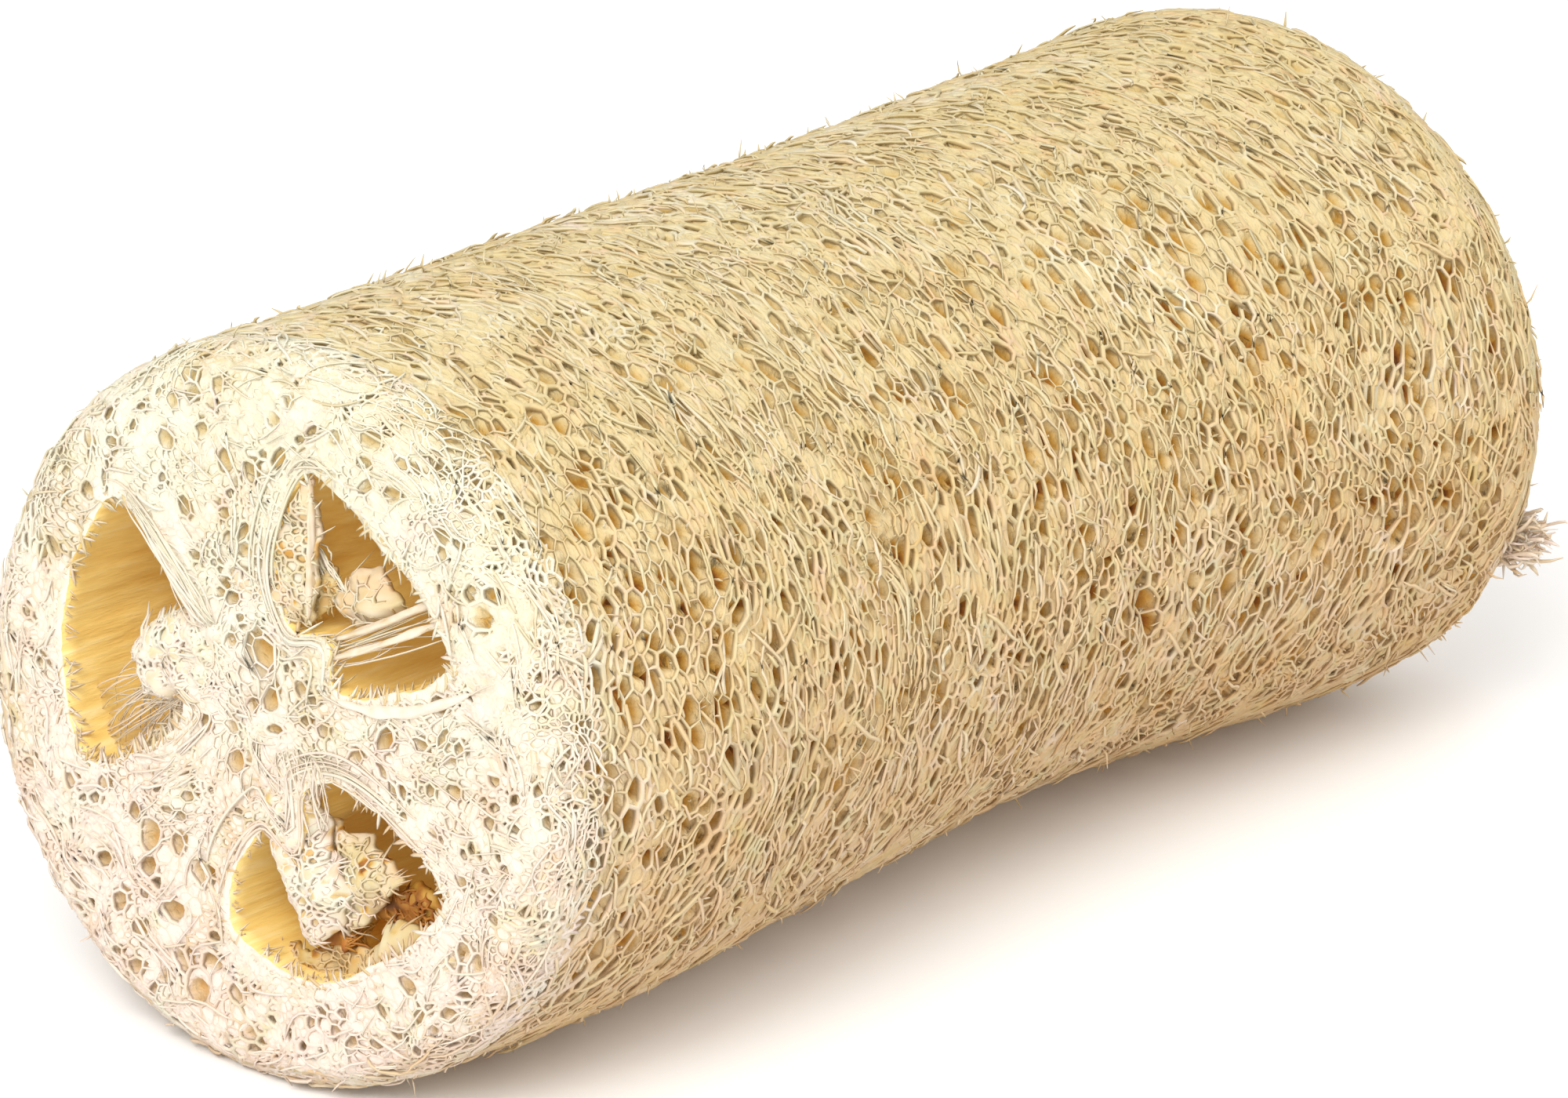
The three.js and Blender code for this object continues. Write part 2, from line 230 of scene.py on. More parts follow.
PICTURE_WIDTH = 2000
PICTURE_HEIGHT = 1400
CAMERA_AZIMUTH = math.radians(-47.527)
CAMERA_ELEVATION = math.radians(20.278)
CAMERA_DISTANCE = 674.239
CAMERA_FOCAL_PIXELS = 8776.348
CAMERA_AIM_RIGHT = -3.291
CAMERA_AIM_HEIGHT = 36
CAMERA_AIM_RISE = 30.652 - CAMERA_AIM_HEIGHT
SENSOR = 36.0
CAMERA_BACK = np.array([
    math.sin(CAMERA_AZIMUTH) * math.cos(CAMERA_ELEVATION),
    -math.cos(CAMERA_AZIMUTH) * math.cos(CAMERA_ELEVATION),
    math.sin(CAMERA_ELEVATION),
])
CAMERA_RIGHT = np.array([math.cos(CAMERA_AZIMUTH), math.sin(CAMERA_AZIMUTH), 0])
CAMERA_UP = np.cross(CAMERA_BACK, CAMERA_RIGHT)
CAMERA_AIM = BOX_CENTRE_SHIFT + [0, 0, CAMERA_AIM_HEIGHT]
CAMERA_AIM = CAMERA_AIM + CAMERA_RIGHT * CAMERA_AIM_RIGHT + CAMERA_UP * CAMERA_AIM_RISE
CAMERA_PLACE = CAMERA_AIM + CAMERA_BACK * CAMERA_DISTANCE


def in_picture(points):
    """Where places show in the photo, in its pixels."""
    sight = points - CAMERA_PLACE
    scale = CAMERA_FOCAL_PIXELS / -(sight @ CAMERA_BACK)
    right = PICTURE_WIDTH / 2 + sight @ CAMERA_RIGHT * scale
    down = PICTURE_HEIGHT / 2 - sight @ CAMERA_UP * scale
    return pairs(right, down)


def behind_picture(spots, surface, start):
    """The places on a surface's flat map that show at spots of the photo, found step by step."""
    spots = np.array(spots, dtype=float)
    flat = np.tile(np.array(start, dtype=float), (len(spots), 1))
    nudge = 0.1
    for _ in range(8):
        seen = in_picture(surface(flat))
        nudged = [in_picture(surface(flat + step)) for step in ([nudge, 0], [0, nudge])]
        slopes = (np.stack(nudged, axis=2) - seen[..., None]) / nudge
        flat += np.linalg.solve(slopes, (spots - seen)[..., None])[..., 0]
    return flat


def in_body(section, depth):
    """Places of the body's cross section, at a depth behind the cut face."""
    r, angle = polar(section)
    return place(depth - HALF + np.zeros(len(r)), r, angle)


def section_behind(spots, depth):
    """Places in the body's cross section, at a depth behind the cut face, for spots of the photo."""
    return behind_picture(spots, lambda section: in_body(section, depth), (0, 0))


# Meshes

def add_piece(name, points, triangles, material, first=None, second=None, map_name="OFBake"):
    """One object from places in millimetres. first and second, one of each a point, become its map."""
    mesh = bpy.data.meshes.new(name)
    mesh.from_pydata((points * MILLIMETRE).tolist(), [], triangles.tolist())
    mesh.shade_smooth()
    if first is not None:
        layer = mesh.uv_layers.new(name=map_name)
        corners = np.clip(np.stack([first, second], axis=1), 0.01, 0.99)
        layer.uv.foreach_set("vector", corners[triangles.ravel()].ravel())
    mesh.materials.append(material)
    mesh.validate()
    piece = bpy.data.objects.new(name, mesh)
    bpy.context.collection.objects.link(piece)
    return piece


def finish_piece(piece):
    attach(piece, "root")
    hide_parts("loofah_sponge")


def fibre_piece(name, points, triangles, tone, tint):
    finish_piece(add_piece(name, points, triangles, FIBRE, tone, tint))


def triangulated(flat):
    """Places of a flat map, joined into triangles."""
    found = delaunay_2d_cdt([Vector(point) for point in flat.tolist()], [], [], 0, 1e-6, False)
    return np.array([tuple(point) for point in found[0]]), np.array(found[2])


def faces(*corners):
    """Triangles from their three corners, each a list of points."""
    return np.concatenate([np.column_stack(three) for three in corners])


def tube_triangles(rings, around):
    """Triangles of a tube of rings, each closed on itself, with the points of its two poles after them."""
    ring, side = grid(np.arange(rings - 1), np.arange(around))
    a = ring * around + side
    b = ring * around + (side + 1) % around
    side = np.arange(around)
    after = (side + 1) % around
    last = (rings - 1) * around
    pole = np.full(around, rings * around)
    return faces(
        (a, b, b + around),
        (a, b + around, a + around),
        (pole, after, side),
        (pole + 1, last + side, last + after),
    )


def with_poles(points, around):
    return np.concatenate([points, [points[:around].mean(axis=0), points[-around:].mean(axis=0)]])


def step_between(knots, tail, head, period):
    """Steps from knot to knot, the short way round where a net closes on itself."""
    step = knots[head] - knots[tail]
    if period:
        step[:, 0] = (step[:, 0] + period / 2) % period - period / 2
    return step


def cell_net(seeds, longest, period=None):
    """The net whose meshes hold one seed each: its knots and the links between them, without the far too long
    ones along its edge. Where a period is given, it closes on itself in the first direction."""
    number = np.arange(len(seeds))
    if period:
        margin = period / 12
        low = number[seeds[:, 0] < margin]
        high = number[seeds[:, 0] > period - margin]
        seeds = np.concatenate([seeds, seeds[low] + [period, 0], seeds[high] - [period, 0]])
        number = np.concatenate([number, low, high])
    _, triangles = triangulated(seeds)
    middle = seeds[triangles].mean(axis=1)
    if period:
        near = (middle[:, 0] > -margin / 2) & (middle[:, 0] < period + margin / 2)
        triangles = triangles[near]
        middle = middle[near]
    corners = np.sort(number[triangles], axis=1)
    _, first, knot = np.unique(corners, axis=0, return_index=True, return_inverse=True)
    knots = middle[first]
    sides = np.concatenate([corners[:, [0, 1]], corners[:, [1, 2]], corners[:, [0, 2]]])
    rows = np.unique(pairs(sides, np.tile(knot.ravel(), 3)), axis=0)
    same = (rows[1:, 0] == rows[:-1, 0]) & (rows[1:, 1] == rows[:-1, 1])
    links = pairs(rows[:-1, 2][same], rows[1:, 2][same])
    length, _ = polar(step_between(knots, links[:, 0], links[:, 1], period))
    return knots, links[length < longest]


def net_solid(knots, links, half_width, period, flip):
    """A flat net as one closed roofed solid: each point's knot, its place on the flat and the triangles. The
    ridge's points come first, one for each knot."""
    tail = links.ravel()
    _, heading = polar(step_between(knots, tail, links[:, ::-1].ravel(), period))
    order = np.lexsort((heading, tail))
    here = np.arange(len(order))
    spot = np.empty(len(order), dtype=int)
    spot[order] = here
    tail = tail[order]
    heading = heading[order]
    starts = np.searchsorted(tail, tail)
    ends = np.searchsorted(tail, tail, side="right")
    following = np.where(here + 1 < ends, here + 1, starts)
    before = np.where(here > starts, here - 1, ends - 1)
    sector = (heading[following] - heading) % TURN
    sector = np.where(sector < 1e-6, TURN, sector)
    reach = half_width[tail] / np.maximum(np.sin(sector / 2), 0.55)
    corner = knots[tail] + from_polar(reach, heading + sector / 2)
    count = len(knots)
    leaving = spot[0::2]
    arriving = spot[1::2]
    top_a, top_b = links.T
    left_a = count + leaving
    right_a = count + before[leaving]
    right_b = count + arriving
    left_b = count + before[arriving]
    three = count + here[(ends - starts == 3) & (here == starts)]
    triangles = faces(
        (top_a, top_b, left_b),
        (top_b, top_a, right_a),
        (left_a, left_b, right_b),
        (top_a, left_b, left_a),
        (top_b, right_a, right_b),
        (left_a, right_b, right_a),
        (three + 2, three + 1, three),
    )
    a, b, c = triangles.T
    triangles = triangles[(a != b) & (b != c) & (a != c)]
    if flip:
        triangles = triangles[:, ::-1]
    return np.concatenate([np.arange(count), tail]), np.concatenate([knots, corner]), triangles


def used_only(points, triangles, *values):
    """Leaves out the points that no triangle uses."""
    used = np.unique(triangles)
    new = np.zeros(len(points), dtype=int)
    new[used] = np.arange(len(used))
    return (points[used], new[triangles]) + tuple(value[used] for value in values)


# Shader nodes

def maths(operation):
    """An operator that adds its Math node."""
    return lambda one, other: one.shader.add("ShaderNodeMath", {"operation": operation}, [one, other])


class Value:
    """A socket that holds a number, so that shader maths can be written as an expression."""

    __add__ = __radd__ = maths("ADD")
    __sub__ = maths("SUBTRACT")
    __mul__ = maths("MULTIPLY")
    __truediv__ = maths("DIVIDE")
    at_least = maths("MAXIMUM")
    at_most = maths("MINIMUM")

    def __init__(self, shader, socket):
        self.shader = shader
        self.socket = socket

    def __rsub__(self, other):
        return self * -1.0 + other

    def limited(self):
        return self.at_least(0.0).at_most(1.0)


class Shader:
    """A material's nodes."""

    def __init__(self, name, roughness):
        self.material = bpy.data.materials.new(name)
        self.material.use_nodes = True
        self.tree = self.material.node_tree
        self.surface = self.tree.nodes["Principled BSDF"]
        self.surface.inputs["Roughness"].default_value = roughness

    def add(self, kind, settings, values, output=0, stops=()):
        """A node of any kind: its settings and stops first, then a number, colour or link for each socket."""
        node = self.tree.nodes.new(kind)
        for name, value in settings.items():
            setattr(node, name, value)
        for number, stop in enumerate(stops):
            if number > 1:
                node.color_ramp.elements.new(1)
            node.color_ramp.elements[number].position = stop[0]
            node.color_ramp.elements[number].color = stop[1]
        for name, value in values.items() if isinstance(values, dict) else enumerate(values):
            self.feed(node.inputs[name], value)
        return Value(self, node.outputs[output])

    def feed(self, socket, value):
        if isinstance(value, Value):
            self.tree.links.new(value.socket, socket)
        elif value is not None:
            socket.default_value = value

    def mix(self, factor, first, second, blend="MIX"):
        settings = {"data_type": "RGBA", "blend_type": blend}
        return self.add("ShaderNodeMix", settings, {0: factor, 6: first, 7: second}, output=2)

    def ramp(self, factor, stops):
        return self.add("ShaderNodeValToRGB", {}, [factor], stops=stops)

    def coordinates(self):
        return self.add("ShaderNodeTexCoord", {}, [], "Object")

    def stretched(self, scale):
        return self.add("ShaderNodeMapping", {}, {"Vector": self.coordinates(), "Scale": scale})

    def part(self, vector, number):
        return self.add("ShaderNodeSeparateXYZ", {}, [vector], number)

    def map_pair(self, name):
        """Both directions of the piece's own map."""
        on_map = self.add("ShaderNodeUVMap", {"uv_map": name}, [])
        return self.part(on_map, 0), self.part(on_map, 1)

    def noise(self, vector, scale, detail=3.0, roughness=0.55):
        return self.add("ShaderNodeTexNoise", {}, {
            "Vector": vector, "Scale": scale, "Detail": detail, "Roughness": roughness,
        })

    def cells(self, vector, scale):
        return self.add("ShaderNodeTexVoronoi", {}, {"Vector": vector, "Scale": scale}, "Distance")

    def finish(self, colour, roughness=None, height=None, depth=0.0003, glow=0.0):
        """The glow is painted light: it stands for light that comes through thin fibre, and lifts the shade
        in crevices and chambers.
        """
        inputs = self.surface.inputs
        self.feed(inputs["Base Color"], colour)
        self.feed(inputs["Roughness"], roughness)
        if glow:
            self.feed(inputs["Emission Color"], colour)
            inputs["Emission Strength"].default_value = glow
        if height is not None:
            bump = self.add("ShaderNodeBump", {}, {"Height": height, "Distance": depth})
            self.feed(inputs["Normal"], bump)
        return self.material


def colour(red, green, blue):
    """A screen colour of 0 to 255 as the linear colour that a node takes."""
    def linear(part):
        share = part / 255
        return share / 12.92 if share <= 0.04045 else ((share + 0.055) / 1.055) ** 2.4

    return (linear(red), linear(green), linear(blue), 1)


TONE_STOPS = [
    (0.0, colour(92, 50, 14)),
    (0.14, colour(163, 102, 33)),
    (0.3, colour(193, 146, 62)),
    (0.5, colour(206, 179, 130)),
    (0.72, colour(209, 190, 155)),
    (1.0, colour(227, 220, 212)),
]
LINING_STOPS = [
    (0.0, colour(112, 50, 10)),
    (0.25, colour(196, 126, 42)),
    (0.5, colour(224, 178, 88)),
    (0.75, colour(238, 206, 124)),
    (1.0, colour(248, 230, 180)),
]
PINKISH = colour(253, 240, 234)
GREENISH = colour(246, 250, 236)
GREENISH_HEIGHT = 0.07
STAIN_SPOT = (505, 1165)
STAIN_DEPTH = 13
STAIN_SIZE = 0.011


def fibre_material():
    """Dried fibre: the map's first direction is its tone, from brown to cream, and the second its tint."""
    shader = Shader("dried_fibre", 0.6)
    tone, tint = shader.map_pair("OFBake")
    wash = shader.mix(tint, GREENISH, PINKISH)
    mixed = shader.mix(1.0, shader.ramp(tone, TONE_STOPS), wash, "MULTIPLY")
    return shader.finish(mixed, 0.72 - tone * 0.2, glow=0.06)


def pith_material():
    """The matted fibres under the net. Its map's first direction is how near a large pore is, which paints
    the pore's pit darker and amber as painted shade, and the second how white the part is."""
    shader = Shader("matted_pith", 0.8)
    flow = shader.stretched((1.0, 0.45, 0.45))
    pore, white = shader.map_pair("pore_map")
    fine = shader.cells(flow, 1100.0)
    strands = shader.noise(flow, 1500.0, 3.0, 0.6)
    patches = shader.noise(shader.coordinates(), 60.0, 2.0)
    height = shader.part(shader.coordinates(), 2)
    wash = shader.mix((1.0 - height / GREENISH_HEIGHT).limited(), GREENISH, PINKISH)
    tone = 0.36 + fine * 0.14 + strands * 0.24 + patches * 0.12
    # Near a large pore the tone drops: painted shade in the pit.
    tone = tone + white * (1.0 - pore) * 0.4 - pore * (0.6 - white * 0.4)
    mixed = shader.mix(1.0, shader.ramp(tone.limited(), TONE_STOPS), wash, "MULTIPLY")
    return shader.finish(mixed, 0.9 - tone * 0.2, fine + strands, depth=0.0005, glow=0.1)


def lining_material():
    """The smooth golden lining of the chambers, finely streaked, with a red-brown stain in the lower one."""
    shader = Shader("chamber_lining", 0.5)
    flow = shader.stretched((0.09, 1.0, 1.0))
    streaks = shader.noise(flow, 1100.0, 3.0, 0.6)
    bands = shader.noise(flow, 330.0, 2.0, 0.5)
    patches = shader.noise(shader.coordinates(), 70.0)
    stain_place = in_body(section_behind([STAIN_SPOT], STAIN_DEPTH), STAIN_DEPTH)[0] * MILLIMETRE
    pair = [shader.coordinates(), tuple(stain_place)]
    away = shader.add("ShaderNodeVectorMath", {"operation": "DISTANCE"}, pair, "Value")
    stain = (1.0 - away / STAIN_SIZE).limited()
    tone = 0.2 + streaks * 0.6 + bands * 0.2 + patches * 0.26 - stain * 0.44
    mixed = shader.ramp(tone.limited(), LINING_STOPS)
    return shader.finish(mixed, 0.65 - streaks * 0.25, streaks + bands * 0.3, glow=0.06)


FIBRE = fibre_material()
PITH = pith_material()
LINING = lining_material()


# Chambers

def closed_curve(points, u):
    """Points of a smooth closed curve through the given ones."""
    points = np.asarray(points, dtype=float)
    count = len(points)
    position = (u % 1) * count
    k = np.floor(position).astype(int) % count
    w = (position - np.floor(position))[:, None]
    p0, p1, p2, p3 = (points[(k + step) % count] for step in (-1, 0, 1, 2))
    leave = 0.5 * (p2 - p0)
    arrive = 0.5 * (p3 - p1)
    cubic = 2 * p1 - 2 * p2 + leave + arrive
    square = -3 * p1 + 3 * p2 - 2 * leave - arrive
    return ((cubic * w + square) * w + leave) * w + p1


def rear_outline(chamber):
    """The chamber's outline at the rear: an egg, wider towards the skin."""
    front = np.array(chamber["front"])
    middle = front.mean(axis=0)
    _, towards = polar(front - middle)
    towards = towards - math.atan2(middle[1], middle[0])
    out = np.cos(towards)
    across = np.sin(towards) * REAR_CHAMBER_ACROSS * (1 + REAR_CHAMBER_EGG * out)
    along = REAR_CHAMBER_CENTRE + out * REAR_CHAMBER_RADIAL
    turn = math.radians(chamber["rear_angle"])
    away = pairs(along, across)
    return away * math.cos(turn) + left_of(away) * math.sin(turn)


def chamber_wall(chamber, x, u, inset):
    """Places on a chamber's wall, moved into the chamber by the inset. Returns r and angle about the axis."""
    blend = smooth_step(x, -HALF, HALF)[:, None]
    rear = rear_outline(chamber)

    def section_at(u):
        return closed_curve(chamber["front"], u) * (1 - blend) + closed_curve(rear, u) * blend

    section = section_at(u)
    inwards = left_of(unit(section_at(u + 0.004) - section))
    r, angle = polar(section + inwards * inset[:, None])
    lobe_angle, lobe_spread, lobe_reach = chamber["lobe"]
    away = angle_between(angle, lobe_angle) / math.radians(lobe_spread)
    fade = np.clip(1 - (x + HALF) / LOBE_DEPTH, 0, 1)
    lobe = np.where(r < REAR_CHAMBER_CENTRE, lobe_reach * np.exp(-(away ** 2)) * fade, 0)
    return r + lobe, angle


def inside(edge, places):
    """Which places lie inside a closed outline."""
    y, z = places.T
    result = np.zeros(len(places), dtype=bool)
    for (y0, z0), (y1, z1) in zip(edge, np.roll(edge, -1, axis=0)):
        crosses = (z0 > z) != (z1 > z)
        with np.errstate(divide="ignore", invalid="ignore"):
            reach = y0 + (z - z0) * (y1 - y0) / (z1 - z0)
        result ^= crosses & (y < reach)
    return result


def gap_to(edge, places):
    """How far each place is from the nearest point of an edge."""
    return np.linalg.norm(places[:, None] - edge[None], axis=2).min(axis=1)


def chamber_edge(chamber, x):
    """The chamber's outline at one place along the body."""
    return from_polar(*chamber_wall(chamber, np.full(240, x), np.arange(240) / 240, np.zeros(240)))


def beside_chambers(section, x):
    """Which places of the cross section lie outside all three chambers."""
    clear = np.ones(len(section), dtype=bool)
    for chamber in CHAMBERS.values():
        clear &= ~inside(chamber_edge(chamber, x), section)
    return clear


def chamber_tube(name):
    """A chamber as a closed tube through the whole body and past both ends, with fine lengthwise ribs."""
    around = 130
    steps = 34
    overrun = 8
    x, u = grid(np.linspace(-HALF - overrun, HALF + overrun, steps), np.arange(around) / around)
    ribs = 0.05 * np.sin(u * TURN * 41 + np.sin(x / 9) * 1.5)
    ribs = ribs + 0.35 * drift(pairs(x / 4, u * 60), 7, 3)
    points = place(x, *chamber_wall(CHAMBERS[name], x, u, ribs + 0.35))
    triangles = tube_triangles(steps, around)
    cutter = add_piece("cutter_" + name, with_poles(points, around), triangles, PITH)
    cutter.data.materials.append(LINING)
    cutter.data.polygons.foreach_set("material_index", np.ones(len(triangles), dtype=np.int32))
    return cutter


# Pores: places on a flat map of the skin, in millimetres round the body and along its outline, or across one
# end. The side's map is drawn in, because its pores are longer round the body than along it.

SIDE_FIRST = FRONT_RIM_EDGE - 4
SIDE_LAST = SIDE_EDGE + 10
SIDE_ASPECT = 1.6
SIDE_PERIOD = ROUND / SIDE_ASPECT
SIDE_START = (ROUND * 0.42, FRONT_RIM_EDGE + 70)
FRONT_CAP = FRONT_RIM_EDGE + 2
REAR_CAP = OUTLINE_LENGTH - SIDE_EDGE - 4


def lattice(width, height, spacing, jitter, thinning, draw):
    """Staggered places, each moved a little, with some taken away."""
    columns = max(2, round(width / spacing))
    rows = max(2, round(height / (spacing * 0.87)))
    column, row = np.meshgrid(np.arange(columns), np.arange(rows))
    x = (column + 0.5 * (row % 2)) * (width / columns)
    y = row * (height / rows)
    places = pairs(x.ravel(), y.ravel())
    places += draw.uniform(-jitter, jitter, places.shape) * spacing
    return places[draw.random(len(places)) > thinning]


class Pores:
    """The large pores of one stretch of skin, and the seeds of the net that leaves them open."""

    def __init__(self, width, height, spacing, large_spacing, large_size, missing, seed,
                 period=None, stated=(), away_from=()):
        draw = np.random.default_rng(seed)
        self.period = period
        large = lattice(width, height, large_spacing, 0.3, missing, draw)
        for edge in away_from:
            large = large[gap_to(edge, large) > 2.0]
        sizes = large_size * draw.uniform(0.65, 1.25, len(large))
        fine = lattice(width, height, spacing, 0.36, 0.05, draw)
        if period:
            large[:, 0] %= period
            fine[:, 0] %= period
        for middle, size in stated:
            clear = np.hypot(*(large - middle).T) > 0.7 * (sizes + size)
            large = np.concatenate([large[clear], [middle]])
            sizes = np.append(sizes[clear], size)
        shifts = [0, period, -period] if period else [0]
        self.middles = np.concatenate([large + [shift, 0] for shift in shifts])
        self.sizes = np.tile(sizes, len(shifts))
        self.tree = KDTree(len(self.middles))
        for number, (x, y) in enumerate(self.middles.tolist()):
            self.tree.insert((x, y, 0), number)
        self.tree.balance()
        self.seeds = np.concatenate([fine[self.share(fine) > 1], large])

    def nearest(self, places):
        """The way from the nearest pore's middle, its length and that pore's size."""
        if self.period:
            places = pairs(places[:, 0] % self.period, places[:, 1])
        found = np.array([self.tree.find((x, y, 0))[1] for x, y in places.tolist()])
        away = places - self.middles[found]
        return away, np.hypot(away[:, 0], away[:, 1]), self.sizes[found]

    def share(self, places):
        """The distance to the nearest pore's middle, as a share of that pore's size."""
        _, gap, size = self.nearest(places)
        return gap / size

    def nearness(self, places):
        """1 in the middle of a large pore, 0 outside it."""
        return 1 - smooth_step(self.share(places), 0.35, 0.8)

    def clearing(self, places):
        """How far places have to move to leave the large pores open."""
        away, gap, size = self.nearest(places)
        gap = np.maximum(gap, 1e-6)
        return away * (np.maximum(0.68 * size - gap, 0) / gap)[:, None]


# Large pores that stand out in the photo: the spot in its pixels and the size in millimetres
FRONT_HOLES = [
    ((335, 830), 2.9), ((342, 893), 1.7), ((487, 946), 2.5), ((318, 600), 1.9), ((350, 590), 1.7),
    ((285, 585), 1.5), ((345, 745), 1.6), ((470, 560), 1.5), ((210, 560), 1.5), ((300, 970), 1.8),
    ((190, 1065), 1.9), ((225, 1075), 1.6), ((185, 1105), 1.7), ((215, 1160), 2.1), ((150, 1150), 1.7),
    ((255, 1115), 1.5), ((175, 1185), 1.5), ((232, 1225), 1.9), ((265, 1225), 1.5), ((247, 1265), 1.8),
    ((300, 1265), 1.7), ((130, 1095), 1.5), ((110, 560), 1.4), ((620, 1050), 1.3), ((560, 900), 1.5),
]
SIDE_HOLES = [
    ((1462, 765), 1.5), ((1468, 800), 1.3), ((1530, 772), 1.6), ((1283, 445), 1.7), ((1280, 400), 1.5),
    ((1385, 375), 1.5), ((1345, 560), 1.5), ((1385, 590), 1.6), ((930, 910), 1.6), ((685, 525), 1.5),
]


def stated_pores(holes, surface, start, flow, to_map):
    """Stated pores as places on a net's map. The flow moves a place only a little and is taken off once."""
    flat = behind_picture([spot for spot, _ in holes], lambda flat: surface(flat, 0), start)
    return list(zip(to_map(2 * flat - flow(flat)), [size for _, size in holes]))


def side_skin(flat, sink):
    return skin(flat[:, 1], flat[:, 0] / MEAN_RADIUS, sink)


def side_flow(flat):
    """Moves places on the side's map, so that the fibres wander."""
    spread = side_skin(flat, 0)
    along = 0.6 * drift(spread, 14, 5) + 0.2 * drift(spread, 5, 6)
    return flat + pairs(0.8 * drift(spread, 16, 7), along)


def to_side_map(flat):
    return (flat - [0, SIDE_FIRST]) / [SIDE_ASPECT, 1]


def front_skin(flat, sink):
    return skin(*polar(flat), sink)


def rear_skin(flat, sink):
    r, angle = polar(flat)
    return skin(OUTLINE_LENGTH - r, angle, sink)


def cap_flow(flat):
    return flat + 0.5 * pairs(drift(flat, 6, 8), drift(flat, 6, 9))


SIDE_PORES = Pores(
    SIDE_PERIOD, SIDE_LAST - SIDE_FIRST, spacing=0.98, large_spacing=2.15, large_size=1.15, missing=0.28,
    seed=11, period=SIDE_PERIOD,
    stated=stated_pores(SIDE_HOLES, side_skin, SIDE_START, side_flow, to_side_map),
)
FRONT_PORES = Pores(
    2 * FRONT_CAP, 2 * FRONT_CAP, spacing=0.97, large_spacing=2.5, large_size=1.05, missing=0.52, seed=21,
    stated=stated_pores(FRONT_HOLES, front_skin, (3, 3), cap_flow, lambda flat: flat + FRONT_CAP),
    away_from=[chamber_edge(chamber, -HALF) + FRONT_CAP for chamber in CHAMBERS.values()],
)
REAR_PORES = Pores(
    2 * REAR_CAP, 2 * REAR_CAP, spacing=1.05, large_spacing=3.0, large_size=1.5, missing=0.4, seed=31,
)


# The matted core

def core_pores(s, angle):
    """How near each place of the core is to the middle of a large pore."""
    def on_cap(pores, cap, r):
        flat = from_polar(r, angle)
        return pores.nearness(2 * flat - cap_flow(flat) + cap)

    side = pairs(angle * MEAN_RADIUS, s)
    on_side = SIDE_PORES.nearness(to_side_map(2 * side - side_flow(side)))
    result = np.where(s < FRONT_RIM_EDGE - 1, on_cap(FRONT_PORES, FRONT_CAP, s), on_side)
    rear_s = OUTLINE_LENGTH - s
    return np.where(rear_s < REAR_CAP - 3, on_cap(REAR_PORES, REAR_CAP, rear_s), result)


def core_sink(s):
    """How deep the matted core lies under the skin: less on the cut face than on the side."""
    return 0.27 + 0.15 * smooth_step(s, FRONT_FACE_EDGE, FRONT_RIM_EDGE + 3)


def topside(points):
    """1 along the top of the body, where the fibres lie closer and paler, and 0 below it."""
    return smooth_step(points[:, 2], 48, 70)


def matted_core():
    """The body under the net, with a pit below each large pore and the three chambers cut through it."""
    around = 262
    s = np.concatenate([
        np.linspace(0, FRONT_FACE_EDGE, 42)[1:-1],
        np.linspace(FRONT_FACE_EDGE, SIDE_LAST, 236)[:-1],
        np.linspace(SIDE_LAST, OUTLINE_LENGTH, 50)[:-1],
    ])
    rings = len(s)
    s, angle = grid(s, np.arange(around) * TURN / around)
    on_skin = skin(s, angle, 0)
    pore = core_pores(s, angle) * (1 - 0.45 * topside(on_skin))
    # The crease takes the pores' dark amber as well: painted shade in the crease, besides its depth.
    pore = np.maximum(pore, 0.75 * crease(s, angle))
    depth = core_sink(s) * (1 + 0.12 * drift(on_skin, 2.0, 8)) * (1 - 0.25 * topside(on_skin))
    pit = 1.1 + 0.8 * smooth_step(s, FRONT_FACE_EDGE, FRONT_RIM_EDGE)
    ends = np.array([0.0, OUTLINE_LENGTH])
    points = np.concatenate([skin(s, angle, depth + pit * pore), skin(ends, np.zeros(2), core_sink(ends))])
    pore = np.concatenate([pore, [0, 0]])
    white = np.maximum(1 - smooth_step(points[:, 0], -HALF - 2, -HALF + 16), 0.22 * topside(points))
    core = add_piece("matted_core", points, tube_triangles(rings, around), PITH, pore, white, "pore_map")
    core.data.materials.append(LINING)
    for name in CHAMBERS:
        cutter = chamber_tube(name)
        cut = core.modifiers.new("chamber", "BOOLEAN")
        cut.operation = "DIFFERENCE"
        cut.solver = "MANIFOLD"
        cut.object = cutter
        bpy.ops.object.select_all(action="DESELECT")
        core.select_set(True)
        bpy.context.view_layer.objects.active = core
        bpy.ops.object.modifier_apply(modifier=cut.name)
        bpy.data.objects.remove(cutter)
    finish_piece(core)


matted_core()


# Nets of fibre

def from_behind(to_skin, spot):
    """Whether a flat map shows its skin from behind, so that its triangles have to be turned."""
    here, first, second = to_skin(spot + np.array([[0, 0], [0.01, 0], [0, 0.01]]), 0)
    out = to_skin(np.array([spot]), -0.05)[0] - here
    return np.cross(first - here, second - here) @ out < 0


def tint_at(points):
    """Greener along the top, pinker below."""
    return 0.8 - 0.7 * smooth_step(points[:, 2], 10, 68)


